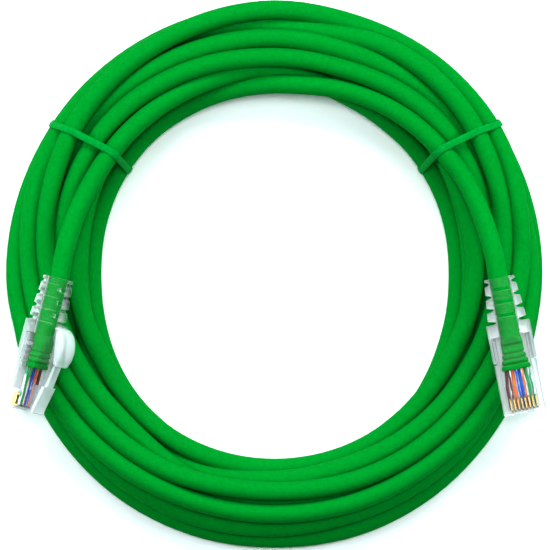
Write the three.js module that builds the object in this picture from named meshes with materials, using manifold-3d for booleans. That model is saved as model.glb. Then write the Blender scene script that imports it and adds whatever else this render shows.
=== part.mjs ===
// A network patch cable: one jacketed cable with an 8-position modular plug on each end, wound
// in a flat round coil and held by two twist ties.
//
// Millimetres, +Z up. The origin is the middle of the coil, on the surface that it lies on.
// Each plug is modelled in its own frame and then placed: the origin is the middle of its nose,
// +Y runs back along the cable, +X across the plug, and +Z is the latch side, with the contacts
// on the other side.

import * as THREE from "three";
import { mergeVertices } from "three/addons/utils/BufferGeometryUtils.js";
import Module from "manifold-3d";

const wasm = await Module();
wasm.setup();

// ---------- Driving dimensions ----------

// The cable, and the fit of one piece beside another.
const CABLE_RADIUS = 2.7;
const REST_GAP = 0.3;
const FIT_GAP = 0.1;

// The coil, as one solid ring of its outer shape.
const COIL = {
  innerRadius: 50,
  outerRadius: 76.5,
  height: 14.8,
  edgeRadius: 2.7,
  sideHeight: 8.5,
  shoulder: 6,
  segments: 44,
};

// The twist ties: a flat strap round the coil, sunk in a groove, with its ends twisted together.
const TIE = {
  angles: [-54, 54], // clockwise from +Y, seen from above
  width: 1.6,
  thickness: 0.7,
  sink: 0.15,
  stubLength: 9,
  stubWidth: 1.1,
  stubThickness: 0.8,
  stubTurns: 1.5,
  stubRadius: 55.9,
  stubHeight: 0.85,
  stubTurnIn: 4.6, // degrees towards the coil's middle
};

// The housing of a plug.
const HOUSING = {
  halfWidth: 5.84,
  halfHeight: 3.3,
  length: 21.5,
  edge: 0.35,
  rearHalfWidth: 5.15,
  rearFrom: 14.3,
};

// The row of conductors and contacts.
const POSITIONS = 8;
const PITCH = 1.02;
const CONTACT = {
  thickness: 0.35,
  front: 0.9,
  back: 4.7,
  outer: -2.9,
  shoulder: -1.5,
  toothTip: -0.25,
  toothWidth: 0.7,
};
const SLOT = { width: 0.6, back: 5.6, floor: -0.5 };
const WIRE = {
  radius: 0.45,
  height: -0.3,
  front: 1.5,
  straightTo: 7.8,
  back: 12,
  gatheredPitch: 0.84,
  stagger: 0.42,
  slitWidth: 0.5,
  slitBack: 5,
  slitFloor: -0.1,
};
const LOAD_BAR = { halfWidth: 4.25, front: 1.3, back: 7.7, low: 0, high: 1.2 };

// The cavity of the housing, in three rooms of growing height: for the load bar, for the
// gathering conductors and for the cable. Each is a half width, a length and a height.
const LOAD_BAR_ROOM = { halfWidth: 4.45, length: [1, 8.5], height: [-1, 1.35] };
const GATHER_ROOM = { halfWidth: 4.45, length: [8, 12.5], height: [-1.5, 1.6] };
const CABLE_ROOM = { halfWidth: 4.3, length: [12, 22.5], height: [-2.85, 2.85] };

// The jacket's end, flattened in the plug and round again in the boot.
const JACKET = {
  front: 12.3,
  frontHalfWidth: 4,
  narrowAt: 18,
  flatTo: 19.5,
  flatHalfHeight: 1.75,
  flatCentre: 0.3,
  roundFrom: 21.6,
  steps: 14,
  sides: 16,
};
const CLAMP = { halfWidth: 3.1, front: 18, back: 19.2, low: -3.15, high: -1.6, teeth: 5 };

// The boot: a hood round the back of the housing, then a slotted strain relief.
const BOOT = {
  front: 14.6,
  hoodBack: 25.3,
  back: 38,
  halfWidth: 6.05,
  halfHeight: 3.9,
  corner: 1.1,
  pocketHalfWidth: 5.3,
  pocketHalfHeight: 3.45,
  pocketBack: 21.8,
  reliefHalfWidth: 5.5,
  endHalfWidth: 4.2,
  endHalfHeight: 3.4,
  reliefCorner: 2.2,
  bore: 2.95,
  sideNotches: [1.4, 5, 8.6, 12.2], // from the cable end
  faceSlots: [3.1, 6.7, 10.4],
  notchMouth: 1.3,
  notchRoot: 0.5,
  notchFloor: 3.3,
  slotWidth: 0.9,
  slotHalfLength: 2.6,
};

// The latch and its guard, as side outlines of (y, z), with the hinge line of each.
const LATCH = {
  hinge: [0.8, 3.6],
  halfWidth: 3.1,
  leverHalfWidth: 1.65,
  shoulderAt: 8,
  outline: [
    [0.4, 3.5],
    [1.6, 3.65],
    [8, 5.1],
    [15.2, 6.5],
    [15.2, 7.1],
    [7.6, 5.95],
    [2, 4.6],
    [0.4, 4.3],
  ],
};
const GUARD = {
  hinge: [24.5, 4.2],
  halfWidth: 3.5,
  thickness: 0.85,
  root: [24.6, 4.85],
  ridge: [
    [24.1, 6.6],
    [22.2, 8.2],
    [19.2, 8.95],
    [16.4, 8.7],
    [14.3, 7.85],
  ],
};

// Where each plug lies: the middle of its nose, its turn about +Z and its roll about its length.
const PLUGS = {
  plug_a: { nose: [-69.3, -37.6, 22.4], turn: -14.3, roll: 64 },
  plug_b: { nose: [69.1, -38, 24.5], turn: 11, roll: 180 },
};

// Each tail leaves its boot along the plug, then comes down into the top of the coil.
// The points are (radius, clockwise angle from +Y, height).
const TAILS = {
  cable_tail_a: {
    plug: "plug_a",
    straight: [38.3, 41.5],
    route: [
      [58.4, -83, 21.7],
      [57.9, -77, 20],
      [57.6, -71, 17.8],
      [57.3, -64.5, 15.9],
      [57, -57.5, 14.9],
    ],
  },
  cable_tail_b: {
    plug: "plug_b",
    straight: [38.3, 41.5],
    route: [
      [60.3, 82.5, 23.5],
      [59.8, 77, 21.3],
      [59.5, 71, 18.5],
      [59.3, 64.5, 16.1],
      [59, 57.5, 14.9],
    ],
  },
};
const TAIL_SIDES = 10;
const TAIL_STEPS = 14;
const WIRE_SIDES = 8;
const WIRE_STEPS = 7;

// ---------- Materials ----------

function material(color, roughness, metalness = 0, opacity = 1) {
  return new THREE.MeshStandardMaterial({
    color,
    roughness,
    metalness,
    opacity,
    transparent: opacity < 1,
  });
}

const JACKET_GREEN = material(0x00a53f, 0.55);
const TIE_GREEN = material(0x12b052, 0.5);
const CLEAR_PLASTIC = material(0xe6eaee, 0.15, 0, 0.4);
const CLEAR_BOOT = material(0xe2e6ea, 0.3, 0, 0.5);
const GOLD = material(0xd9b25a, 0.25, 1);
const WIRE_COLOURS = [
  ["white_green", 0xbfe3cc],
  ["green", 0x1f9d57],
  ["white_orange", 0xf6d9bf],
  ["blue", 0x1a5ccc],
  ["white_blue", 0xc3d3f0],
  ["orange", 0xf58a42],
  ["white_brown", 0xdccac2],
  ["brown", 0x7a4238],
];

// ---------- Solids ----------

const AXIS_X = new THREE.Vector3(1, 0, 0);
const AXIS_Y = new THREE.Vector3(0, 1, 0);
const AXIS_Z = new THREE.Vector3(0, 0, 1);
const radians = THREE.MathUtils.degToRad;

function solidOf(geometry) {
  const bare = geometry.clone();
  bare.deleteAttribute("normal");
  bare.deleteAttribute("uv");
  const merged = mergeVertices(bare, 1e-4);
  return new wasm.Manifold(
    new wasm.Mesh({
      numProp: 3,
      vertProperties: merged.attributes.position.array,
      triVerts: new Uint32Array(merged.index.array),
    }),
  );
}

function geometryOf(solid) {
  const mesh = solid.getMesh();
  const geometry = new THREE.BufferGeometry();
  geometry.setAttribute("position", new THREE.BufferAttribute(mesh.vertProperties, mesh.numProp));
  geometry.setIndex(new THREE.BufferAttribute(mesh.triVerts, 1));
  geometry.computeVertexNormals();
  return geometry;
}

function block([x0, x1], [y0, y1], [z0, z1]) {
  const geometry = new THREE.BoxGeometry(x1 - x0, y1 - y0, z1 - z0);
  geometry.translate((x0 + x1) / 2, (y0 + y1) / 2, (z0 + z1) / 2);
  return solidOf(geometry);
}

function polygon(points) {
  return new THREE.Shape(points.map(([x, y]) => new THREE.Vector2(x, y)));
}

function roundedRectangle(halfWidth, halfHeight, radius) {
  const shape = new THREE.Shape();
  const cornerX = halfWidth - radius;
  const cornerY = halfHeight - radius;
  shape.absarc(cornerX, cornerY, radius, 0, Math.PI / 2);
  shape.absarc(-cornerX, cornerY, radius, Math.PI / 2, Math.PI);
  shape.absarc(-cornerX, -cornerY, radius, Math.PI, 1.5 * Math.PI);
  shape.absarc(cornerX, -cornerY, radius, 1.5 * Math.PI, 2 * Math.PI);
  return shape;
}

// A section drawn in (x, z), run along +Y from one place to another.
function alongY(shape, from, to, curveSegments = 1, steps = 1) {
  const geometry = new THREE.ExtrudeGeometry(shape, {
    depth: to - from,
    bevelEnabled: false,
    curveSegments,
    steps,
  });
  geometry.applyMatrix4(new THREE.Matrix4().makeBasis(AXIS_X.clone().negate(), AXIS_Z, AXIS_Y));
  return geometry.translate(0, from, 0);
}

// A side outline drawn in (y, z), run across the plug to equal widths on both sides.
function acrossX(shape, halfWidth) {
  const geometry = new THREE.ExtrudeGeometry(shape, { depth: 2 * halfWidth, bevelEnabled: false });
  geometry.translate(0, 0, -halfWidth);
  return geometry.applyMatrix4(new THREE.Matrix4().makeBasis(AXIS_Y, AXIS_Z, AXIS_X));
}

// Moves every vertex of a geometry by a rule.
function reshape(geometry, rule) {
  const position = geometry.attributes.position;
  const point = new THREE.Vector3();
  for (let i = 0; i < position.count; i++) {
    point.fromBufferAttribute(position, i);
    rule(point);
    position.setXYZ(i, point.x, point.y, point.z);
  }
  return geometry;
}

// A regular polygon is a circle drawn with half as many curve segments as it has sides.
function circle(radius) {
  const shape = new THREE.Shape();
  shape.absarc(0, 0, radius, 0, 2 * Math.PI);
  return shape;
}

function tube(points, radius, sides, steps) {
  return new THREE.ExtrudeGeometry(circle(radius), {
    extrudePath: new THREE.CatmullRomCurve3(points),
    steps,
    curveSegments: sides / 2,
    bevelEnabled: false,
  });
}

function named(name, geometry, itsMaterial) {
  const mesh = new THREE.Mesh(geometry, itsMaterial);
  mesh.name = name;
  return mesh;
}

// ---------- The plug ----------

function positionX(index) {
  return (index - (POSITIONS - 1) / 2) * PITCH;
}

function housing() {
  const { halfWidth, halfHeight, length, edge, rearHalfWidth, rearFrom } = HOUSING;
  const front = solidOf(alongY(roundedRectangle(halfWidth, halfHeight, edge), 0, rearFrom));
  const rear = solidOf(
    alongY(roundedRectangle(rearHalfWidth, halfHeight, edge), rearFrom - 1, length),
  );
  let solid = front.add(rear);
  for (const room of [LOAD_BAR_ROOM, GATHER_ROOM, CABLE_ROOM]) {
    solid = solid.subtract(block([-room.halfWidth, room.halfWidth], room.length, room.height));
  }
  for (let i = 0; i < POSITIONS; i++) {
    const x = positionX(i);
    const slotWidth = [x - SLOT.width / 2, x + SLOT.width / 2];
    solid = solid.subtract(block(slotWidth, [-1, SLOT.back], [-halfHeight - 1, SLOT.floor]));
  }
  const windowWidth = [-CLAMP.halfWidth - REST_GAP, CLAMP.halfWidth + REST_GAP];
  const windowLength = [CLAMP.front - REST_GAP, CLAMP.back + REST_GAP];
  return geometryOf(solid.subtract(block(windowWidth, windowLength, [-halfHeight - 1, 0])));
}

// A contact is a flat blade with two teeth that bite into its conductor.
function contact(index) {
  const { thickness, front, back, outer, shoulder, toothTip, toothWidth } = CONTACT;
  const bevel = 0.5;
  const middle = (front + back) / 2;
  const outline = polygon([
    [front, shoulder],
    [front, outer + bevel],
    [front + bevel, outer],
    [back - bevel, outer],
    [back, outer + bevel],
    [back, shoulder],
    [back - toothWidth / 2, toothTip],
    [back - toothWidth, shoulder],
    [middle, shoulder + 0.2],
    [front + toothWidth, shoulder],
    [front + toothWidth / 2, toothTip],
  ]);
  return acrossX(outline, thickness / 2).translate(positionX(index), 0, 0);
}

// The conductors lie in one row in the load bar and gather in two layers at the jacket.
function wire(index) {
  const side = index % 2 === 0 ? -1 : 1;
  const x = positionX(index);
  const gatheredX = (x / PITCH) * WIRE.gatheredPitch;
  const gatheredZ = WIRE.height + side * WIRE.stagger;
  const half = (WIRE.straightTo + WIRE.back) / 2;
  const points = [
    [x, WIRE.front, WIRE.height],
    [x, (WIRE.front + WIRE.straightTo) / 2, WIRE.height],
    [x, WIRE.straightTo, WIRE.height],
    [(x + gatheredX) / 2, half, (WIRE.height + gatheredZ) / 2],
    [gatheredX, WIRE.back, gatheredZ],
  ].map((point) => new THREE.Vector3(...point));
  const solid = solidOf(tube(points, WIRE.radius, WIRE_SIDES, WIRE_STEPS));
  const slit = block(
    [x - WIRE.slitWidth / 2, x + WIRE.slitWidth / 2],
    [WIRE.front - 1, WIRE.slitBack],
    [WIRE.height - 1, WIRE.slitFloor],
  );
  return geometryOf(solid.subtract(slit));
}

// The load bar is a plate with a shallow groove for each conductor.
function loadBar() {
  const { halfWidth, front, back, low, high } = LOAD_BAR;
  let solid = block([-halfWidth, halfWidth], [front, back], [low, high]);
  for (let i = 0; i < POSITIONS; i++) {
    const groove = new THREE.CylinderGeometry(
      WIRE.radius + FIT_GAP,
      WIRE.radius + FIT_GAP,
      back - front + 2,
      10,
    ).translate(positionX(i), (front + back) / 2, WIRE.height);
    solid = solid.subtract(solidOf(groove));
  }
  return geometryOf(solid);
}

function clampBar() {
  const { halfWidth, front, back, low, high, teeth } = CLAMP;
  const pitch = (2 * halfWidth) / teeth;
  const outline = [
    [halfWidth, high],
    [halfWidth, low],
    [-halfWidth, low],
    [-halfWidth, high],
  ];
  for (let i = 0; i < teeth - 1; i++) {
    const valley = -halfWidth + (i + 1) * pitch;
    outline.push([valley - pitch / 3, high], [valley, high - 0.5], [valley + pitch / 3, high]);
  }
  return alongY(polygon(outline.reverse()), front, back);
}

// The jacket's end: flat in the housing, round in the boot.
function jacketEnd() {
  const ramp = THREE.MathUtils.smoothstep;
  const mix = THREE.MathUtils.lerp;
  const geometry = alongY(circle(1), JACKET.front, BOOT.back, JACKET.sides / 2, JACKET.steps);
  return reshape(geometry, (point) => {
    const narrow = ramp(point.y, JACKET.front, JACKET.narrowAt);
    const round = ramp(point.y, JACKET.flatTo, JACKET.roundFrom);
    point.x *= mix(JACKET.frontHalfWidth, CABLE_RADIUS, narrow);
    point.z *= mix(JACKET.flatHalfHeight, CABLE_RADIUS, round);
    point.z += mix(JACKET.flatCentre, 0, round);
  });
}

function boot() {
  const hood = solidOf(
    alongY(roundedRectangle(BOOT.halfWidth, BOOT.halfHeight, BOOT.corner), BOOT.front, BOOT.hoodBack),
  );
  const reliefShape = roundedRectangle(BOOT.reliefHalfWidth, BOOT.halfHeight, BOOT.reliefCorner);
  const relief = reshape(alongY(reliefShape, BOOT.hoodBack - 0.5, BOOT.back, 2), (point) => {
    const along = THREE.MathUtils.clamp(
      (point.y - BOOT.hoodBack) / (BOOT.back - BOOT.hoodBack),
      0,
      1,
    );
    point.x *= THREE.MathUtils.lerp(1, BOOT.endHalfWidth / BOOT.reliefHalfWidth, along);
    point.z *= THREE.MathUtils.lerp(1, BOOT.endHalfHeight / BOOT.halfHeight, along);
  });
  const bore = new THREE.CylinderGeometry(BOOT.bore, BOOT.bore, 2 * BOOT.back, 14);
  let solid = hood
    .add(solidOf(relief))
    .subtract(
      block(
        [-BOOT.pocketHalfWidth, BOOT.pocketHalfWidth],
        [BOOT.front - 1, BOOT.pocketBack],
        [-BOOT.pocketHalfHeight, BOOT.pocketHalfHeight],
      ),
    )
    .subtract(solidOf(bore.translate(0, BOOT.back, 0)));
  const reach = BOOT.halfWidth + 1;
  for (const fromEnd of BOOT.sideNotches) {
    const y = BOOT.back - fromEnd;
    for (const side of [-1, 1]) {
      const wedge = polygon([
        [side * BOOT.notchFloor, y - BOOT.notchRoot / 2],
        [side * reach, y - BOOT.notchMouth / 2],
        [side * reach, y + BOOT.notchMouth / 2],
        [side * BOOT.notchFloor, y + BOOT.notchRoot / 2],
      ]);
      const cutter = new THREE.ExtrudeGeometry(wedge, { depth: 2 * reach, bevelEnabled: false });
      solid = solid.subtract(solidOf(cutter.translate(0, 0, -reach)));
    }
  }
  for (const fromEnd of BOOT.faceSlots) {
    const y = BOOT.back - fromEnd;
    const slotLength = [-BOOT.slotHalfLength, BOOT.slotHalfLength];
    const slotWidth = [y - BOOT.slotWidth / 2, y + BOOT.slotWidth / 2];
    solid = solid.subtract(block(slotLength, slotWidth, [-reach, reach]));
  }
  return geometryOf(solid);
}

// The latch: a wide tongue with a lever behind its two shoulders.
function latch() {
  const { outline, halfWidth, leverHalfWidth, shoulderAt } = LATCH;
  const whole = solidOf(acrossX(polygon(outline), halfWidth));
  const behind = [shoulderAt, shoulderAt + HOUSING.length];
  const height = [0, 3 * HOUSING.halfHeight];
  return geometryOf(
    whole
      .subtract(block([leverHalfWidth, 2 * halfWidth], behind, height))
      .subtract(block([-2 * halfWidth, -leverHalfWidth], behind, height)),
  );
}

// The latch guard: an arched flap of even thickness along a ridge line.
function guard() {
  const ridge = new THREE.CatmullRomCurve3(
    [GUARD.root, ...GUARD.ridge].map(([y, z]) => new THREE.Vector3(y, z, 0)),
  ).getSpacedPoints(12);
  const upper = [];
  const lower = [];
  ridge.forEach((point, i) => {
    const before = ridge[Math.max(i - 1, 0)];
    const after = ridge[Math.min(i + 1, ridge.length - 1)];
    const normal = after.clone().sub(before).normalize().multiplyScalar(GUARD.thickness / 2);
    upper.push([point.x - normal.y, point.y + normal.x]);
    lower.push([point.x + normal.y, point.y - normal.x]);
  });
  return acrossX(polygon([...upper, ...lower.reverse()]), GUARD.halfWidth);
}

// A plug with its boot, in its own frame. Position 1 is on the -X side.
function plug(name) {
  const group = new THREE.Group();
  group.add(named(`${name}_housing`, housing(), CLEAR_PLASTIC));
  group.add(named(`${name}_load_bar`, loadBar(), CLEAR_PLASTIC));
  group.add(named(`${name}_cable_clamp`, clampBar(), CLEAR_PLASTIC));
  group.add(named(`${name}_jacket_end`, jacketEnd(), JACKET_GREEN));
  group.add(named(`${name}_boot`, boot(), CLEAR_BOOT));
  group.add(named(`${name}_latch`, latch(), CLEAR_PLASTIC));
  group.add(named(`${name}_latch_guard`, guard(), CLEAR_BOOT));
  for (let i = 0; i < POSITIONS; i++) {
    const [colourName, colour] = WIRE_COLOURS[i];
    group.add(named(`${name}_contact_${i + 1}`, contact(i), GOLD));
    group.add(named(`${name}_wire_${i + 1}_${colourName}`, wire(i), material(colour, 0.5)));
  }
  const { nose, turn, roll } = PLUGS[name];
  group.position.set(...nose);
  group.rotation.set(0, radians(roll), radians(turn), "ZYX");
  group.updateMatrixWorld(true);
  return group;
}

// ---------- The coil, the tails and the ties ----------

// The coil's section in (radius, height), grown or shrunk evenly all round.
function coilSection(grow) {
  const inner = COIL.innerRadius - grow;
  const outer = COIL.outerRadius + grow;
  const top = COIL.height + grow;
  const radius = COIL.edgeRadius;
  const section = new THREE.Shape();
  section.absarc(outer - radius, radius - grow, radius, 1.5 * Math.PI, 2 * Math.PI);
  section.lineTo(outer, COIL.sideHeight);
  section.quadraticCurveTo(outer - 0.2, top - radius, outer - COIL.shoulder, top);
  section.lineTo(inner + COIL.shoulder, top);
  section.quadraticCurveTo(inner + 0.2, top - radius, inner, COIL.sideHeight);
  section.absarc(inner + radius, radius - grow, radius, Math.PI, 1.5 * Math.PI);
  section.closePath();
  return section;
}

// A section drawn in (radius, height), stood at a clockwise angle and given a width.
function atAngle(shape, angle, width) {
  const out = new THREE.Vector3(Math.sin(radians(angle)), Math.cos(radians(angle)), 0);
  const along = out.clone().cross(AXIS_Z);
  const geometry = new THREE.ExtrudeGeometry(shape, {
    depth: width,
    bevelEnabled: false,
    curveSegments: 2,
  });
  geometry.translate(0, 0, -width / 2);
  return geometry.applyMatrix4(new THREE.Matrix4().makeBasis(out, AXIS_Z, along));
}

// Lays a bar that runs along +Z from the origin under the coil, starting at the tie.
function besideTie(geometry, angle) {
  const out = new THREE.Vector3(Math.sin(radians(angle)), Math.cos(radians(angle)), 0);
  const along = out.clone().cross(AXIS_Z);
  geometry.rotateY(-radians(TIE.stubTurnIn)).translate(TIE.stubRadius, TIE.stubHeight, 0);
  return geometry.applyMatrix4(new THREE.Matrix4().makeBasis(out, AXIS_Z, along));
}

function tie(angle) {
  const outside = solidOf(atAngle(coilSection(-TIE.sink), angle, TIE.width));
  const inside = solidOf(atAngle(coilSection(-TIE.sink - TIE.thickness), angle, TIE.width + 1));
  const stubShape = roundedRectangle(TIE.stubWidth / 2, TIE.stubThickness / 2, 0.2);
  const stub = new THREE.ExtrudeGeometry(stubShape, {
    depth: TIE.stubLength,
    steps: 10,
    curveSegments: 1,
    bevelEnabled: false,
  });
  reshape(stub, (point) => {
    const twist = (point.z / TIE.stubLength) * TIE.stubTurns * 2 * Math.PI;
    const x = point.x * Math.cos(twist) - point.y * Math.sin(twist);
    const y = point.x * Math.sin(twist) + point.y * Math.cos(twist);
    point.set(x, y, point.z);
  });
  besideTie(stub, angle);
  return geometryOf(outside.subtract(inside).add(solidOf(stub)));
}

// The channel under the coil that the twisted ends lie in.
function stubRoom(angle) {
  const half = Math.hypot(TIE.stubWidth, TIE.stubThickness) / 2 + REST_GAP;
  const length = TIE.stubLength + REST_GAP;
  const room = new THREE.BoxGeometry(2 * half, 2 * half, length).translate(0, 0, length / 2);
  return solidOf(besideTie(room, angle));
}

function tailPoints(tail, plugs, extra = 0) {
  const place = plugs[tail.plug].matrixWorld;
  const straight = tail.straight.map((y) => new THREE.Vector3(0, y, 0).applyMatrix4(place));
  const route = tail.route.map(([radius, angle, height]) => {
    const turn = radians(angle);
    return new THREE.Vector3(radius * Math.sin(turn), radius * Math.cos(turn), height);
  });
  const points = [...straight, ...route];
  const [beforeLast, last] = points.slice(-2);
  last.add(last.clone().sub(beforeLast).normalize().multiplyScalar(extra));
  return points;
}

function coil(plugs) {
  const outline = coilSection(0).getPoints(2);
  outline.push(outline[0].clone());
  const ring = new THREE.LatheGeometry(outline, COIL.segments).rotateX(Math.PI / 2);
  let solid = solidOf(ring);
  for (const angle of TIE.angles) {
    const width = TIE.width + 2 * REST_GAP;
    const outside = solidOf(atAngle(coilSection(1), angle, width));
    const core = solidOf(atAngle(coilSection(-TIE.sink - TIE.thickness - REST_GAP), angle, width + 1));
    solid = solid.subtract(outside.subtract(core)).subtract(stubRoom(angle));
  }
  for (const tail of Object.values(TAILS)) {
    const points = tailPoints(tail, plugs, REST_GAP);
    solid = solid.subtract(solidOf(tube(points, CABLE_RADIUS + REST_GAP, TAIL_SIDES, TAIL_STEPS)));
  }
  return geometryOf(solid);
}

// ---------- The whole cable ----------

const patchCable = new THREE.Group();
const plugs = {};
for (const name of Object.keys(PLUGS)) {
  plugs[name] = plug(name);
  patchCable.add(plugs[name]);
}
patchCable.add(named("cable_coil", coil(plugs), JACKET_GREEN));
for (const [name, tail] of Object.entries(TAILS)) {
  const geometry = tube(tailPoints(tail, plugs), CABLE_RADIUS, TAIL_SIDES, TAIL_STEPS);
  patchCable.add(named(name, geometry, JACKET_GREEN));
}
TIE.angles.forEach((angle, i) => {
  patchCable.add(named(`twist_tie_${i + 1}`, tie(angle), TIE_GREEN));
});

export default patchCable;
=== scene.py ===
"""The looks of a coiled network patch cable: a cord wound in one coil, with a clear plug on each end."""

import math

import bmesh
import bpy
import numpy as np
from mathutils import Matrix, Vector


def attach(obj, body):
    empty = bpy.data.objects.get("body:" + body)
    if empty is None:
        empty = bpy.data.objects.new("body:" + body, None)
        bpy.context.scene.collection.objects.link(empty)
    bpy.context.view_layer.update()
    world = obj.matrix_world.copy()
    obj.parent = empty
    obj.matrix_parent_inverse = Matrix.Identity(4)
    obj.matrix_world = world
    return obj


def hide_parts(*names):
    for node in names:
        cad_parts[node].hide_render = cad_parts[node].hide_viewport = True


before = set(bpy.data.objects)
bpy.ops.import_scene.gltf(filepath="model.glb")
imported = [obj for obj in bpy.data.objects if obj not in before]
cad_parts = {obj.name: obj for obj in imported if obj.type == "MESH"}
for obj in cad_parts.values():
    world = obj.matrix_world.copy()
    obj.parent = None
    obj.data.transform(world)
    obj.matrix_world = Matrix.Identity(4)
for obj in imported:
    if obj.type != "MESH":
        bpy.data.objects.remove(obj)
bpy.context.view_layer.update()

MM = 0.001

# ---------- Sizes, in millimetres ----------

CABLE_DIAMETER = 5.4

# Each plug: the middle of its nose, its turn about +Z and its roll about its length, in degrees.
# Its own axes are X across, Y back along the cable and Z to the latch's side.
# clear_side is the way in which its plastic turns from a painted white veil to clear: (across, to the
# latch's side).
PLUGS = {
    "plug_a": {"nose": (-69.3, -37.6, 22.4), "turn": -14.3, "roll": 64, "clear_side": (-0.46, 0.89)},
    "plug_b": {"nose": (69.1, -38, 24.5), "turn": 11, "roll": 180, "clear_side": (0, -1)},
}
CORD_FROM = 22  # the cord's round part starts this far behind each nose
STRAIGHT_TO = 36  # and runs straight to here

# The route from each plug into the top of the coil: (degrees clockwise from +Y, radius, height).
TAIL_A = [
    (-90, 59.84, 22.4),
    (-87.5, 59.1, 22.4),
    (-83, 58.4, 21.7),
    (-77, 57.9, 20),
    (-71, 57.6, 17.8),
    (-64.5, 57.3, 15.9),
    (-57.5, 57, 14.9),
    (-45, 56.9, 14),
    (-30, 56.4, 12.6),
    (-12, 54.9, 12.2),
    (0, 54.3, 12.2),
]
TAIL_B = [
    (0, 54.3, 12.2),
    (12, 55.2, 12.2),
    (30, 57, 12.6),
    (48, 58, 14.2),
    (57.5, 59, 14.9),
    (64.5, 59.3, 16.1),
    (71, 59.5, 18.5),
    (77, 59.8, 21.3),
    (82.5, 60.3, 23.5),
    (87, 61.2, 24.5),
    (90, 61.8, 24.5),
]
PINNED_FROM = 57.5  # from this angle to the plugs, the tails lie just where their solids do

# ---------- The coil ----------

TURNS = 11  # whole turns; half a turn more joins the two sides
STEPS = 120  # points in a turn
HALF_TURN = STEPS // 2
QUARTER_TURN = STEPS // 4
TOUCH = 5.2  # the strands press into each other a little
LANE_SMOOTHING = 6  # passes over each lane before the cable is wound
SETTLE_ROUNDS = 260
STIFFNESS = 16  # smoothing passes along the cable in each round
LAST_SMOOTHING = 2  # passes after the last round
HIDDEN_PULL = 0.02  # the part of its way back to its lane that a covered strand moves in a round
OPEN_PULL = 0.16  # and what comes on top where it lies open
HEIGHT_PULL = 0.5  # the pull up and down, as a part of the pull sideways
SWAP_HOLD = 0.5  # how firmly a strand is held where it changes lanes, as a part of its hold
SAG = 0.02  # how far a strand sinks in a round
PRESS_STEPS = 4  # times in a round that the strands push each other apart
PRESS = 0.35  # the part of an overlap by which each of the two strands moves
SMALLEST_GAP = 1e-6
PARKED_FROM = 1e4  # the points past the cable's end are parked this far out, and this far apart
PARKED_APART = 50.0
TIE_ANGLES = (-54, 54)
TIE_LIFT = 0.6  # the straps hold the lowest strands off the table
TIE_REACH = 7  # degrees to each side of a tie over which they come down again

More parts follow.
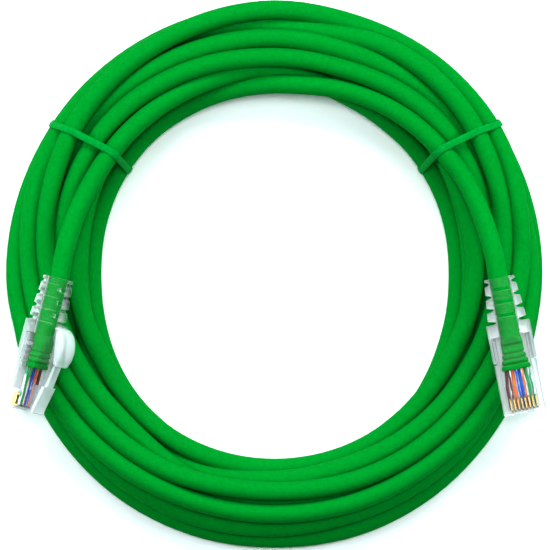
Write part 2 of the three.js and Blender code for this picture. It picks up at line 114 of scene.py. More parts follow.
# The lanes that the strands lie in, half way round: (degrees from +Y, radius, height, hold).
# Both sides of the coil are alike. hold is 1 where a strand lies open and 0 where others cover it.
LANES = {
    "rim": [
        (0, 74.1, 7.9, 1),
        (45, 73.8, 8, 1),
        (60, 72.8, 9.5, 1),
        (68, 71.3, 10.5, 1),
        (78, 69.6, 11, 1),
        (88, 67.8, 11.5, 1),
        (120, 64.1, 12.5, 1),
        (180, 59.5, 13, 1),
    ],
    "crown_out": [
        (0, 71.7, 12.5, 1),
        (30, 72.4, 12.5, 1),
        (42, 72.3, 12.6, 1),
        (53, 70.5, 13.5, 1),
        (60, 69.3, 14, 1),
        (75, 66.1, 14.5, 1),
        (90, 63.1, 13.5, 1),
        (100, 61.7, 12, 1),
        (122, 60, 9, 1),
        (138, 59.6, 8, 1),
        (157, 58.6, 7.4, 1),
        (180, 57.2, 7.4, 1),
    ],
    "crown_mid": [
        (0, 65.6, 12.4, 1),
        (10, 66.1, 12.4, 1),
        (30, 67.2, 11.6, 1),
        (44, 66.4, 9.8, 1),
        (52, 65.5, 9.5, 1),
        (60, 65.5, 9, 0),
        (90, 65.3, 7.3, 0),
        (120, 66.3, 7.8, 0),
        (150, 65, 8, 0),
        (180, 62.8, 8.8, 0),
    ],
    "crown_in": [
        (0, 59.9, 12.2, 1),
        (10, 60.7, 12.8, 1),
        (20, 61.8, 13.6, 1),
        (30, 63.2, 14.5, 1),
        (45, 64.1, 14, 1),
        (58, 63.2, 12.6, 1),
        (69, 61.6, 12, 1),
        (77, 60.2, 11, 1),
        (97, 59.6, 8, 1),
        (110, 60.8, 5.5, 0),
        (120, 62.8, 4, 0),
        (150, 64.2, 2.7, 0),
        (180, 64.6, 2.7, 0),
    ],
    "inner_top": [
        (0, 58, 7.3, 0),
        (30, 60.3, 8, 0),
        (60, 60.6, 8, 0),
        (72, 58.3, 10, 1),
        (78, 57.3, 11, 1),
        (90, 56.4, 11, 1),
        (103, 55.2, 9, 1),
        (118, 54.3, 7.8, 1),
        (135, 54.2, 7.4, 1),
        (147, 54.8, 5.5, 1),
        (157, 54.9, 3.5, 1),
        (170, 54.7, 2.7, 1),
        (180, 54.7, 2.7, 1),
    ],
    "rim_low": [
        (0, 74, 2.7, 0),
        (60, 73.6, 2.7, 1),
        (75, 73.4, 4.5, 1),
        (88, 73, 7, 1),
        (105, 70.8, 9.5, 1),
        (120, 69.1, 11.5, 1),
        (140, 67.2, 12.3, 1),
        (150, 66.6, 12.6, 1),
        (180, 65.7, 13, 1),
    ],
    "outer_mid": [
        (0, 63.2, 7.4, 0),
        (30, 65.4, 7.4, 0),
        (60, 65, 6, 0),
        (90, 67.8, 2.7, 0),
        (110, 70.5, 6, 0),
        (121, 72.2, 7.4, 1),
        (143, 71.4, 7.6, 1),
        (160, 69.9, 7.5, 1),
        (180, 68.2, 7.6, 1),
    ],
    "outer_low": [
        (0, 69.1, 2.7, 0),
        (60, 69.2, 2.7, 0),
        (90, 72.8, 2.7, 0),
        (121, 72.9, 2.7, 1),
        (138, 74.3, 2.7, 1),
        (147, 75.1, 2.7, 1),
        (165, 74.8, 2.7, 1),
        (180, 74.3, 2.7, 1),
    ],
    "outer_under": [
        (0, 64.2, 2.7, 0),
        (45, 62.5, 2.7, 0),
        (60, 60.8, 2.7, 0),
        (75, 61.5, 2.7, 0),
        (90, 62.5, 2.7, 0),
        (121, 67.6, 2.7, 0),
        (150, 69.9, 2.7, 0),
        (180, 69.5, 2.7, 0),
    ],
    "inner_low": [
        (0, 54.4, 2.7, 1),
        (30, 54.6, 2.7, 1),
        (45, 54.4, 2.7, 1),
        (60, 53, 2.7, 1),
        (80, 52.1, 2.7, 1),
        (90, 51.7, 2.7, 1),
        (105, 52.1, 2.7, 1),
        (121, 53.3, 2.7, 1),
        (135, 55.5, 2.7, 0),
        (150, 58.5, 2.7, 0),
        (165, 59.6, 2.7, 0),
        (180, 59.6, 2.7, 0),
    ],
    "inner_mid": [
        (0, 59.3, 2.7, 0),
        (30, 59.3, 2.7, 0),
        (45, 57.5, 5, 1),
        (56, 56.3, 7, 1),
        (68, 54.8, 7.6, 1),
        (82, 53.4, 7.6, 1),
        (100, 53.4, 7.4, 1),
        (108, 54.5, 5.5, 0),
        (120, 58.2, 2.7, 0),
        (150, 62, 4, 0),
        (180, 62, 4, 0),
    ],
}

# How far out and how far in a strand may lie, and how high under the plugs: (degrees from +Y, limit).
OUTER_LIMIT = [
    (0, 74.4),
    (15, 73.9),
    (37, 74.1),
    (60, 73.2),
    (90, 72.9),
    (104, 72.5),
    (121, 74.5),
    (140, 75.3),
    (180, 74.3),
]
INNER_LIMIT = [(0, 53.6), (45, 53.6), (60, 53), (90, 51.6), (121, 53), (147, 54.5), (180, 54.5)]
CEILING = [(0, 30), (88, 30), (94, 12.3), (120, 12.3), (126, 30), (180, 30)]

# Where two neighbouring strands change lanes, each half way round the other:
# (degrees clockwise from +Y, lane, lane, half its length in steps, which way round, how far out it leans).
SWAPS = [
    (0, "tail", "inner_low", 14, -1, 1.2),
    (4, "rim", "crown_out", 13, -1, -0.6),
    (84, "rim_low", "outer_low", 14, 1, -1.2),
    (330, "outer_low", "outer_under", 9, 1, 0.6),
    (30, "outer_under", "outer_mid", 9, 1, 0),
    (270, "outer_mid", "crown_mid", 13, 1, 0),
    (150, "crown_mid", "crown_in", 9, 1, 0),
    (205, "crown_in", "crown_out", 8, 1, 0),
    (345, "inner_top", "inner_mid", 13, 1, 0),
    (160, "inner_mid", "inner_low", 8, 1, 0),
    (205, "inner_mid", "outer_under", 8, 1, 0),
]


def sampled(keys, angles):
    """Radius, height and hold at each angle, from a lane's list; a tail's list is held all along."""
    table = np.array([(*key, 1)[:4] for key in keys], float)
    return np.array([np.interp(angles, table[:, 0], table[:, c]) for c in (1, 2, 3)])


def smoothed(line):
    """One smoothing pass along the last axis, as if it closed on itself."""
    return 0.25 * np.roll(line, 1, -1) + 0.5 * line + 0.25 * np.roll(line, -1, -1)


def lane_tables():
    """Each lane's radius, height and hold at every step of a turn, from +Y clockwise."""
    angles = np.arange(STEPS) * 360.0 / STEPS
    signed = np.where(angles > 180, angles - 360, angles)
    tables = {name: sampled(keys, abs(signed)) for name, keys in LANES.items()}
    tables["tail"] = np.where(signed >= 0, sampled(TAIL_B, signed), sampled(TAIL_A, signed))
    for table in tables.values():
        for _ in range(LANE_SMOOTHING):
            table[:] = smoothed(table)
    return tables


def step_of(angle):
    return round(angle / 360 * STEPS) % STEPS


def steps_along(count):
    """The step of its turn, from +Y, of each of the cable's points from plug A on."""
    return (np.arange(count) - QUARTER_TURN) % STEPS


def angles_along(count):
    """Degrees clockwise from +Y of each of the cable's points, counted on from turn to turn."""
    return (np.arange(count) - QUARTER_TURN) * 360.0 / STEPS


def lanes_along(places):
    """The lane of each point, changed at every swap that the cable meets."""
    lane = "tail"
    lanes = []
    for place in places:
        lanes.append(lane)
        for angle, one, other, *_ in SWAPS:
            if place == step_of(angle) and lane in (one, other):
                lane = other if lane == one else one
                break
    return lanes


def round_each_other(old, new, part, way, lean):
    """Radius and height part of the way from one lane to another, half way round the strand in the other."""
    turn = math.pi * part * part * (3 - 2 * part)
    arm = (old - new) / 2
    across = np.array([-arm[1], arm[0]]) / np.hypot(*arm)
    point = (old + new) / 2 + arm * math.cos(turn)
    point += across * way * TOUCH / 2 * math.sin(turn)
    point[0] += lean * math.sin(math.pi * part)
    return point


def wound_path():
    """The cable's whole way through the lanes, before it settles: radius, height and hold."""
    tables = lane_tables()
    total = TURNS * STEPS + HALF_TURN + 1
    places = steps_along(total)
    lanes = lanes_along(places)
    path = np.array([tables[name][:, place] for name, place in zip(lanes, places)])
    for angle, one, other, half_length, way, lean in SWAPS:
        for middle in np.flatnonzero(places == step_of(angle)):
            if lanes[middle] not in (one, other):
                continue
            before = tables[lanes[middle]]
            after = tables[other if lanes[middle] == one else one]
            for i in range(max(0, middle - half_length), min(total, middle + half_length + 1)):
                old = before[:, places[i]]
                new = after[:, places[i]]
                part = (i - middle + half_length) / (2 * half_length)
                path[i, :2] = round_each_other(old[:2], new[:2], part, way, lean)
                path[i, 2] = SWAP_HOLD * min(old[2], new[2])
    return path


def pushes(radius, height):
    """How far the other turns push each point out and up, where they lie closer than they may."""
    r = radius.reshape(-1, STEPS)
    h = height.reshape(-1, STEPS)
    away = r[:, None] - r[None]
    above = h[:, None] - h[None]
    gap = np.hypot(away, above) + SMALLEST_GAP
    press = np.clip(TOUCH - gap, 0, None) / gap * PRESS
    same = np.arange(len(r))
    press[same, same] = 0
    return (press * away).sum(1).ravel(), (press * above).sum(1).ravel()


def settled(path):
    """The turns pushed apart to a cable's thickness, smoothed and resting on each other."""
    total = len(path)
    size = (TURNS + 1) * STEPS
    radius = PARKED_FROM + PARKED_APART * np.arange(size)
    height = np.zeros(size)
    hold = np.zeros(size)
    radius[:total], height[:total], hold[:total] = path.T
    angle = angles_along(size)
    last = angle[total - 1]
    free = (angle >= -PINNED_FROM) & (angle <= last - 90 + PINNED_FROM)
    round_angle = (angle + 180) % 360 - 180
    lowest = CABLE_DIAMETER / 2 + sum(
        TIE_LIFT * np.exp(-(((round_angle - tie) / TIE_REACH) ** 2)) for tie in TIE_ANGLES
    )
    outer, inner, ceiling = (
        np.interp(abs(round_angle), *zip(*limit)) for limit in (OUTER_LIMIT, INNER_LIMIT, CEILING)
    )
    wanted_radius = radius.copy()
    wanted_height = height.copy()
    pull = HIDDEN_PULL + OPEN_PULL * hold
    for _ in range(SETTLE_ROUNDS):
        radius += free * pull * (wanted_radius - radius)
        height += free * (HEIGHT_PULL * pull * (wanted_height - height) - SAG)
        for line in (radius, height):
            for _ in range(STIFFNESS):
                line[free] = smoothed(line)[free]
        for _ in range(PRESS_STEPS):
            out, up = pushes(radius, height)
            radius += free * out
            height += free * up
            height = np.where(free, np.clip(height, lowest, ceiling), height)
            radius = np.where(free, np.clip(radius, inner, outer), radius)
    line = np.stack([radius[:total], height[:total]])
    for _ in range(LAST_SMOOTHING):
        line[:, 1:-1] = smoothed(line)[:, 1:-1]
    return line


radii, heights = settled(wound_path())
turned = np.radians(angles_along(len(radii)))
coil_points = np.stack([radii * np.sin(turned), radii * np.cos(turned), heights], 1)


def plug_matrix(name):
    """From a plug's own axes to the part's frame, both in metres."""
    plug = PLUGS[name]
    place = Matrix.Translation(Vector(plug["nose"]) * MM)
    turn = Matrix.Rotation(math.radians(plug["turn"]), 4, "Z")
    roll = Matrix.Rotation(math.radians(plug["roll"]), 4, "Y")
    return place @ turn @ roll


def lead_out(name):
    """The straight piece of the cable in a plug's boot."""
    matrix = plug_matrix(name)
    return [tuple(matrix @ Vector((0, y * MM, 0)) / MM) for y in range(CORD_FROM, STRAIGHT_TO + 1, 2)]


route = lead_out("plug_a")
route += [tuple(point) for point in coil_points]
route += reversed(lead_out("plug_b"))
route = np.array(route) * MM

# ---------- Materials ----------


def shader_of(material):
    return material.node_tree.nodes["Principled BSDF"]


def new_material(name, **settings):
    """A material with one Principled shader, its sockets set by name."""
    material = bpy.data.materials.new(name)
    material.use_nodes = True
    for socket, value in settings.items():
        shader_of(material).inputs[socket.replace("_", " ")].default_value = value
    return material


def add_node(material, kind, **settings):
    """A new node, its own properties and its sockets set by name."""
    node = material.node_tree.nodes.new(kind)
    for key, value in settings.items():
        if hasattr(node, key):
            setattr(node, key, value)
        else:
            node.inputs[key.replace("_", " ")].default_value = value
    return node


def join(material, source, output, target, socket):
    material.node_tree.links.new(source.outputs[output], target.inputs[socket])


def surface_noise(material, scale, detail=3.0):
    """Noise over the piece's own coordinates, with scale in waves a metre."""
    place = add_node(material, "ShaderNodeTexCoord")
    noise = add_node(material, "ShaderNodeTexNoise", Scale=scale, Detail=detail)
    join(material, place, "Object", noise, "Vector")
    return noise


def add_range(material, source, output, **ends):
    """Another node's output, moved from one range to another."""
    spread = add_node(material, "ShaderNodeMapRange", **ends)
    join(material, source, output, spread, "Value")
    return spread


def add_bump(material, noise, depth):
    bump = add_node(material, "ShaderNodeBump", Distance=depth, Strength=1.0)
    join(material, noise, "Fac", bump, "Height")
    join(material, bump, "Normal", shader_of(material), "Normal")


def add_shades(material, noise, low, high, start=0.3, end=0.7):
    """Two near shades of one colour, mixed by the noise."""
    ramp = add_node(material, "ShaderNodeValToRGB")
    for stop, place, colour in zip(ramp.color_ramp.elements, (start, end), (low, high)):
        stop.position = place
        stop.color = (*colour, 1)
    join(material, noise, "Fac", ramp, "Fac")
    join(material, ramp, "Color", shader_of(material), "Base Color")


def add_roughness(material, noise, low, high):
    spread = add_range(material, noise, "Fac", To_Min=low, To_Max=high)
    join(material, spread, "Result", shader_of(material), "Roughness")


GREEN_SHEEN = (0.2, 1.0, 0.55, 1)
GRAIN_DEPTH = 0.00006  # metres, as every depth here
SHADE_SCALE = 900
SHADE_DETAIL = 4


def soft_plastic(name, low, high, grain, roughness):
    """Matte extruded plastic: two close shades, a fine grain and uneven gloss."""
    material = new_material(name, Specular_IOR_Level=0.01, Specular_Tint=GREEN_SHEEN)
    fine = surface_noise(material, grain)
    broad = surface_noise(material, SHADE_SCALE, SHADE_DETAIL)
    add_shades(material, broad, low, high)
    add_bump(material, fine, GRAIN_DEPTH)
    add_roughness(material, fine, *roughness)
    return material


# Metres below and above a plug's axis between which its plastic turns from a painted white veil to clear.
PAINTED_VEIL_BELOW = 0.0018
CLEAR_ABOVE = 0.0004
RIPPLE_SCALE = 300
RIPPLE_DEPTH = 0.00001
EDGE_BLEND = 0.1
EDGE_FROM = 0.12  # how far a surface turns away before its edge starts to show


def clear_plastic(name, plug, tint, veils, roughness):
    """Clear moulded plastic: see-through on a plug's clear side, with a painted white veil beyond its cable.
    """
    material = new_material(name, Base_Color=(*tint, 1), IOR=1.5)
    noise = surface_noise(material, RIPPLE_SCALE, 2)
    add_bump(material, noise, RIPPLE_DEPTH)
    add_roughness(material, noise, *roughness)
    matrix = plug_matrix(plug)
    across, above = PLUGS[plug]["clear_side"]
    clear_way = (matrix.to_3x3() @ Vector((across, 0, above))).normalized()
    axis_level = clear_way.dot(matrix.translation)
    place = add_node(material, "ShaderNodeTexCoord")
    level = add_node(material, "ShaderNodeVectorMath", operation="DOT_PRODUCT")
    level.inputs[1].default_value = clear_way
    join(material, place, "Object", level, 0)
    ends = {"From_Min": axis_level - PAINTED_VEIL_BELOW, "From_Max": axis_level + CLEAR_ABOVE}
    # The white veil on the far side is painted reflection. It stands in for light that the clear walls
    # reflect and bend toward the camera above, and the plastic itself is clear all over.
    painted_veil = add_range(material, level, "Value", To_Min=veils[0], To_Max=veils[1], **ends)
    facing = add_node(material, "ShaderNodeLayerWeight", Blend=EDGE_BLEND)
    edge = add_range(material, facing, "Facing", From_Min=EDGE_FROM)
    cover = add_node(material, "ShaderNodeMath", operation="ADD", use_clamp=True)
    join(material, painted_veil, "Result", cover, 0)
    join(material, edge, "Result", cover, 1)
    join(material, cover, "Value", shader_of(material), "Alpha")
    return material


def clear_pair(name, tint, veils, roughness):
    """One clear plastic for each plug, as their clear sides lie differently."""
    return {plug: clear_plastic(f"{name}_{plug}", plug, tint, veils, roughness) for plug in PLUGS}


JACKET = soft_plastic("jacket", (0.0, 0.245, 0.027), (0.0, 0.275, 0.035), 2600, (0.5, 0.65))
TIE = soft_plastic("tie", (0.0, 0.25, 0.036), (0.001, 0.31, 0.055), 1500, (0.35, 0.5))
# veils: the cover of the painted white veil beyond the cable, then the cover on the clear side.
HOUSING = clear_pair("clear_housing", (0.9, 0.92, 0.95), (0.7, 0.003), (0.03, 0.1))
BOOT = clear_pair("clear_boot", (0.9, 0.92, 0.94), (0.8, 0.013), (0.12, 0.22))
GUARD = clear_pair("clear_guard", (0.9, 0.92, 0.95), (0.7, 0.35), (0.12, 0.22))

GOLD = new_material("contact_gold", Metallic=1.0)
gold_noise = surface_noise(GOLD, 3000)
add_shades(GOLD, gold_noise, (0.32, 0.24, 0.09), (0.68, 0.52, 0.22))
add_roughness(GOLD, gold_noise, 0.3, 0.5)
add_bump(GOLD, gold_noise, 0.00001)

# The conductors' colours, from position 1 to 8; a striped one is white with the colour in streaks.
WIRES = [
    ("white_green", (0.01, 0.33, 0.14), True),
    ("green", (0.005, 0.3, 0.1), False),
    ("white_orange", (0.85, 0.2, 0.03), True),
    ("blue", (0.005, 0.08, 0.5), False),
    ("white_blue", (0.01, 0.1, 0.5), True),
    ("orange", (0.85, 0.18, 0.03), False),
    ("white_brown", (0.15, 0.035, 0.035), True),
    ("brown", (0.12, 0.028, 0.03), False),
]
WIRE_WHITE = (0.7, 0.72, 0.72)
WIRE_SHADE = 0.85  # a plain one's darker shade, as a part of its colour
WIRE_GRAIN = 1800
WIRE_GRAIN_DEPTH = 0.00002
STREAK_SCALE = 330
STREAK_ENDS = (0.36, 0.5)  # of the wave's height, from white to the colour


def wire_material(name, colour, striped):
    material = new_material("wire_" + name, Specular_IOR_Level=0.4)
    noise = surface_noise(material, WIRE_GRAIN)
    add_bump(material, noise, WIRE_GRAIN_DEPTH)
    add_roughness(material, noise, 0.3, 0.45)
    if not striped:
        darker = tuple(WIRE_SHADE * part for part in colour)
        add_shades(material, noise, darker, colour)
        return material
    place = add_node(material, "ShaderNodeTexCoord")
    stripes = add_node(
        material,
        "ShaderNodeTexWave",
        bands_direction="X",
        Scale=STREAK_SCALE,
        Distortion=4.0,
        Detail_Scale=1.0,
    )
    join(material, place, "Object", stripes, "Vector")
    add_shades(material, stripes, WIRE_WHITE, colour, *STREAK_ENDS)
    return material


WIRE_MATERIALS = [wire_material(*wire) for wire in WIRES]

# ---------- Tools for pieces ----------

IN_PLACE = Matrix.Identity(4)


def place_piece(piece, material, body, nodes, matrix=IN_PLACE):
    """Puts a new piece in the scene: in place, with its finish, riding on its body for its CAD nodes."""
    bpy.context.scene.collection.objects.link(piece)
    piece.matrix_world = matrix
    piece.data.materials.append(material)
    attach(piece, body)
    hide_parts(*nodes)


def mesh_piece(name, build, matrix=IN_PLACE):
    """A smooth mesh object, filled by build(bm) in millimetres and moved by a plug's matrix."""
    bm = bmesh.new()
    build(bm)
    bmesh.ops.transform(bm, matrix=matrix @ Matrix.Diagonal((MM, MM, MM, 1)), verts=bm.verts)
    bmesh.ops.recalc_face_normals(bm, faces=bm.faces)
    mesh = bpy.data.meshes.new(name)
    bm.to_mesh(mesh)
    bm.free()
    mesh.polygons.foreach_set("use_smooth", [True] * len(mesh.polygons))
    return bpy.data.objects.new(name, mesh)


def never(point):
    return False


def loft(bm, rings, closed=False, is_open=never):
    """Skins a row of equal rings; ends get caps unless the row closes on itself; is_open marks holes."""
    loops = [[bm.verts.new(point) for point in ring] for ring in rings]
    count = len(loops[0])
    pairs = list(zip(loops, loops[1:]))
    if closed:
        pairs.append((loops[-1], loops[0]))
    for one, other in pairs:
        for i in range(count):
            j = (i + 1) % count
            corners = (one[i], one[j], other[j], other[i])
            if not all(is_open(corner.co) for corner in corners):
                bm.faces.new(corners)
    if not closed:
        bm.faces.new(loops[0])
        bm.faces.new(loops[-1])


def tube_curve(name, points, radius, resolution):
    """A round cord along the points, in metres."""
    curve = bpy.data.curves.new(name, "CURVE")
    curve.dimensions = "3D"
    curve.bevel_depth = radius
    curve.bevel_resolution = resolution
    curve.use_fill_caps = True
    spline = curve.splines.new("POLY")
    spline.points.add(len(points) - 1)
    for knot, point in zip(spline.points, points):
        knot.co = (*point, 1)
    spline.use_smooth = True
    return bpy.data.objects.new(name, curve)


def flowing(points, count):
    """count points along a smooth curve through the given ones."""
    points = np.array(points, float)
    padded = np.vstack([2 * points[0] - points[1], points, 2 * points[-1] - points[-2]])
    out = []
    for place in np.linspace(0, len(points) - 1, count):
        i = min(int(place), len(points) - 2)
        t = place - i
        a, b, c, d = padded[i : i + 4]
        doubled = 2 * b + (c - a) * t
        doubled += (2 * a - 5 * b + 4 * c - d) * t**2
        doubled += (3 * b - a - 3 * c + d) * t**3
        out.append(0.5 * doubled)
    return np.array(out)


def smoothstep(value, start, end):
    part = min(max((value - start) / (end - start), 0), 1)
    return part * part * (3 - 2 * part)


def circle(count):
    """(cosine, sine) at even steps round a circle."""
    turns = np.linspace(0, 2 * math.pi, count, endpoint=False)
    return [(math.cos(turn), math.sin(turn)) for turn in turns]


# ---------- The cord ----------

cord = tube_curve("cable", [tuple(point) for point in route], CABLE_DIAMETER / 2 * MM, 7)
place_piece(cord, JACKET, "root", ["cable_coil", "cable_tail_a", "cable_tail_b"])

# ---------- The plugs ----------

# The cable's end is flat at its front, narrower and thicker under the clamp, and round from the boot on.
JACKET_FRONT = 12.3
JACKET_BACK = CORD_FROM + 0.2
JACKET_RINGS = 90
JACKET_POINTS = 48
FLAT_HALF_WIDTH = 4
FLAT_HALF_HEIGHT = 1.9
FLAT_RAISED = 0.3
NARROWED = 1
THICKENED = 0.5
ROUNDED = 0.3
NARROWED_BY = 18
ROUNDED_BETWEEN = (19.5, 21.6)
RIDGES = (13.8, 15.3, 16.8)  # where the housing's ribs pinch the jacket
PINCH = 0.4
PINCH_REACH = 0.28
CUT_EDGE = 0.15
SQUARENESS = 1.6  # how square the flat part's section is
CLAMP = {"half_width": 3.1, "front": 18, "back": 19.2, "low": -3.15, "high": -1.6}
CLAMP_DENT = 0.3
DENT_BEFORE = 0.4  # the clamp's dent reaches this far past it, toward the nose and toward the cable
DENT_BEHIND = 0.5


def jacket_end(bm):
    """The jacket's end: wide and pinched by ribs in the housing, under the clamp, round from the boot on."""
    rings = []
    for y in np.linspace(JACKET_FRONT, JACKET_BACK, JACKET_RINGS):
        narrow = smoothstep(y, JACKET_FRONT, NARROWED_BY)
        into_round = smoothstep(y, *ROUNDED_BETWEEN)
        pinch = PINCH * sum(math.exp(-(((y - ridge) / PINCH_REACH) ** 2)) for ridge in RIDGES)
        clamped = smoothstep(y, CLAMP["front"] - DENT_BEFORE, CLAMP["front"])
        clamped *= 1 - smoothstep(y, CLAMP["back"], CLAMP["back"] + DENT_BEHIND)
        half_width = FLAT_HALF_WIDTH - NARROWED * narrow - ROUNDED * into_round - pinch
        half_height = FLAT_HALF_HEIGHT + THICKENED * narrow + ROUNDED * into_round - pinch
        middle = FLAT_RAISED * (1 - into_round)
        if y == JACKET_FRONT:
            half_width -= CUT_EDGE
            half_height -= CUT_EDGE
        power = 2 / (2 + SQUARENESS * (1 - into_round))
        ring = []
        for cos, sin in circle(JACKET_POINTS):
            x = half_width * math.copysign(abs(cos) ** power, cos)
            z = half_height * math.copysign(abs(sin) ** power, sin)
            if z < 0:
                z *= 1 - CLAMP_DENT * clamped
            ring.append((x, y, z + middle))
        rings.append(ring)
    loft(bm, rings)


POSITIONS = 8
PITCH = 1.02
WIRE_RADIUS = 0.4
WIRE_LEVEL = -0.3
WIRE_IN_LINE = (1.5, 4.6, 7.8)  # how far behind the nose a conductor still lies below its contact
GATHERING = 9.9
GATHERED = 12.9
GATHERED_PITCH = 0.84
GATHERED_RISE = 0.42  # every second conductor goes this far up, the others down
WIRE_POINTS = 40


def wire_points(index):
    """A conductor's line, in metres: under the contacts, then gathered into the jacket."""
    x = (index - (POSITIONS - 1) / 2) * PITCH
    side = -1 if index % 2 == 0 else 1
    gathered_x = x * GATHERED_PITCH / PITCH
    gathered_z = WIRE_LEVEL + side * GATHERED_RISE
    points = [(x, y, WIRE_LEVEL) for y in WIRE_IN_LINE]
    points.append(((x + gathered_x) / 2, GATHERING, (gathered_z + WIRE_LEVEL) / 2))
    points.append((gathered_x, GATHERED, gathered_z))
    return flowing(np.array(points) * MM, WIRE_POINTS)


OUTLINE_POINTS = 80
CORNER_SHARE = 1.6  # the larger it is, the more of an outline's points lie on its round corners
FLAT_POWER = 0.7  # below 1 it draws the others away from the middle of its flat sides
SHORTEST_FLAT = 0.01


def outline_part(part):
    """How far along a flat side a point lies, from -1 to 1, for a cosine or a sine."""
    return min(1, max(-1, CORNER_SHARE * math.copysign(abs(part) ** FLAT_POWER, part)))


def rounded_outline(half_width, half_height, corner):
    """A rectangle with round corners, as (x, z) points in even steps of angle."""
    corner = min(corner, half_width - SHORTEST_FLAT, half_height - SHORTEST_FLAT)
    out = []
    for cos, sin in circle(OUTLINE_POINTS):
        x = (half_width - corner) * outline_part(cos)
        z = (half_height - corner) * outline_part(sin)
        out.append((x + corner * cos, z + corner * sin))
    return out


HOOD = {"front": 14.6, "back": 25.3, "half_width": 6.05, "half_height": 3.9, "corner": 1.1}
POCKET = {"half_width": 5.3, "half_height": 3.45, "corner": 0.4, "back": 21.8}
RELIEF = {"back": 38, "half_width": 5.5, "half_height": 3.9, "corner": 2.2}
RELIEF_END = {"half_width": 4.2, "half_height": 3.4}
BORE = 2.95
HOOD_LIP = 0.25  # how far the hood's edges are rounded in at its ends, and just before them
HOOD_SHOULDER = 0.08
FRONT_SHOULDER_AT = 0.1
MOUTH_LIP = 0.12
MOUTH_DEPTH = 0.15
POCKET_EDGE = 0.1
RELIEF_FROM = 0.05  # behind the hood's end
RELIEF_TO = 0.3  # before its own end
RELIEF_SHOULDER = 0.1
RELIEF_LIP = 0.35
BORE_LIP = 0.15
RELIEF_RINGS = 190
BORE_RINGS = 240
SIDE_NOTCHES = (25.8, 29.4, 33.0, 36.6)
FACE_SLOTS = (27.6, 31.3, 34.9)
SIDE_NOTCH = (0.14, 0.75)  # half the width of a notch at its root and at its mouth
FACE_SLOT = (0.45, 0.7)
SIDE_NOTCH_FLOOR = 3.25
SLOT_REACH = (2.3, 2.75)  # how far a slot's floor and its mouth reach to each side
SLOT_SKIN = 0.02
OPEN_FROM = 0.99  # the depth from which a slot is a hole


def notch_depth(y, places, half_widths):
    """1 at the root of a notch and 0 outside it, with rounded lips."""
    nearest = min(abs(y - place) for place in places)
    return 1 - smoothstep(nearest, *half_widths)


def slotted(x, z, depth):
    """The height of a point of the relief's outline, sunk toward the bore where a face slot runs."""
    sink = depth * (1 - smoothstep(abs(x), *SLOT_REACH))
    floor = math.sqrt(max((BORE + SLOT_SKIN) ** 2 - x * x, 0))
    return z + (math.copysign(floor, z) - z) * sink


def in_slot(point):
    """Whether a point lies over the open part of a face slot."""
    if abs(point.x) > SLOT_REACH[0] or math.hypot(point.x, point.z) > BORE + 2 * SLOT_SKIN:
        return False
    return notch_depth(point.y, FACE_SLOTS, FACE_SLOT) > OPEN_FROM


def section(shape):
    return shape["half_width"], shape["half_height"], shape["corner"]


def relief_ring(y):
    """The strain relief's outline at one distance, with its side notches and face slots."""
    part = (y - HOOD["back"]) / (RELIEF["back"] - HOOD["back"])
    half_width = RELIEF["half_width"] + (RELIEF_END["half_width"] - RELIEF["half_width"]) * part
    half_height = RELIEF["half_height"] + (RELIEF_END["half_height"] - RELIEF["half_height"]) * part
    side = notch_depth(y, SIDE_NOTCHES, SIDE_NOTCH)
    face = notch_depth(y, FACE_SLOTS, FACE_SLOT)
    half_width += (SIDE_NOTCH_FLOOR - half_width) * side
    outline = rounded_outline(half_width, half_height, RELIEF["corner"])
    return [(x, y, slotted(x, z, face)) for x, z in outline]


def boot(bm):
    """The boot: a hood with a pocket for the plug, then a tapered strain relief with notches all round."""
    rings = []

    def ring(y, shape, grown=0.0):
        half_width, half_height, corner = shape
        outline = rounded_outline(half_width + grown, half_height + grown, corner)
        rings.append([(x, y, z) for x, z in outline])

    hood = section(HOOD)
    ring(HOOD["front"], hood, -HOOD_LIP)
    ring(HOOD["front"] + FRONT_SHOULDER_AT, hood, -HOOD_SHOULDER)
    for y in np.linspace(HOOD["front"] + HOOD_LIP, HOOD["back"] - HOOD_LIP, 8):
        ring(y, hood)
    ring(HOOD["back"] - HOOD_SHOULDER, hood, -HOOD_SHOULDER)
    ring(HOOD["back"], hood, -HOOD_LIP)
    for y in np.linspace(HOOD["back"] + RELIEF_FROM, RELIEF["back"] - RELIEF_TO, RELIEF_RINGS):
        rings.append(relief_ring(y))
    end = section(RELIEF | RELIEF_END)
    ring(RELIEF["back"] - RELIEF_SHOULDER, end, -RELIEF_SHOULDER)
    ring(RELIEF["back"], end, -RELIEF_LIP)
    bore = (BORE, BORE, BORE)
    ring(RELIEF["back"], bore, BORE_LIP)
    for y in np.linspace(RELIEF["back"] - BORE_LIP, POCKET["back"] + POCKET_EDGE, BORE_RINGS):
        ring(y, bore)
    ring(POCKET["back"], bore, POCKET_EDGE)
    pocket = section(POCKET)
    ring(POCKET["back"], pocket, -POCKET_EDGE)
    for y in np.linspace(POCKET["back"] - POCKET_EDGE, HOOD["front"] + MOUTH_DEPTH, 6):
        ring(y, pocket)
    ring(HOOD["front"], pocket, MOUTH_LIP)
    loft(bm, rings, closed=True, is_open=in_slot)


GUARD_RIDGE = [(24.6, 4.85), (24.1, 6.6), (22.2, 8.2), (19.2, 8.95), (16.4, 8.7), (14.3, 7.85)]
GUARD_HALF_WIDTH = 3.5
GUARD_THICKNESS = 0.85
GUARD_BLUNT = 0.12  # how far the edges of its two ends are rounded in
CROWN = 0.55  # how far its top falls off to the sides
INNER_CROWN = 0.4
CROWN_POWER = 4
CROWN_POINTS = 15
GUARD_RINGS = 44
CHEEK_FOOT = [(24.9, 4.75), (14.0, 6.75)]  # the cheeks' lower edge clears the hood when it is pressed
CHEEK_THICKNESS = 0.6


def crowned(half, level, fall):
    """A line across the guard that falls off toward both ends."""
    places = np.linspace(-half, half, CROWN_POINTS)
    return [(x, level - fall * abs(x / half) ** CROWN_POWER) for x in places]


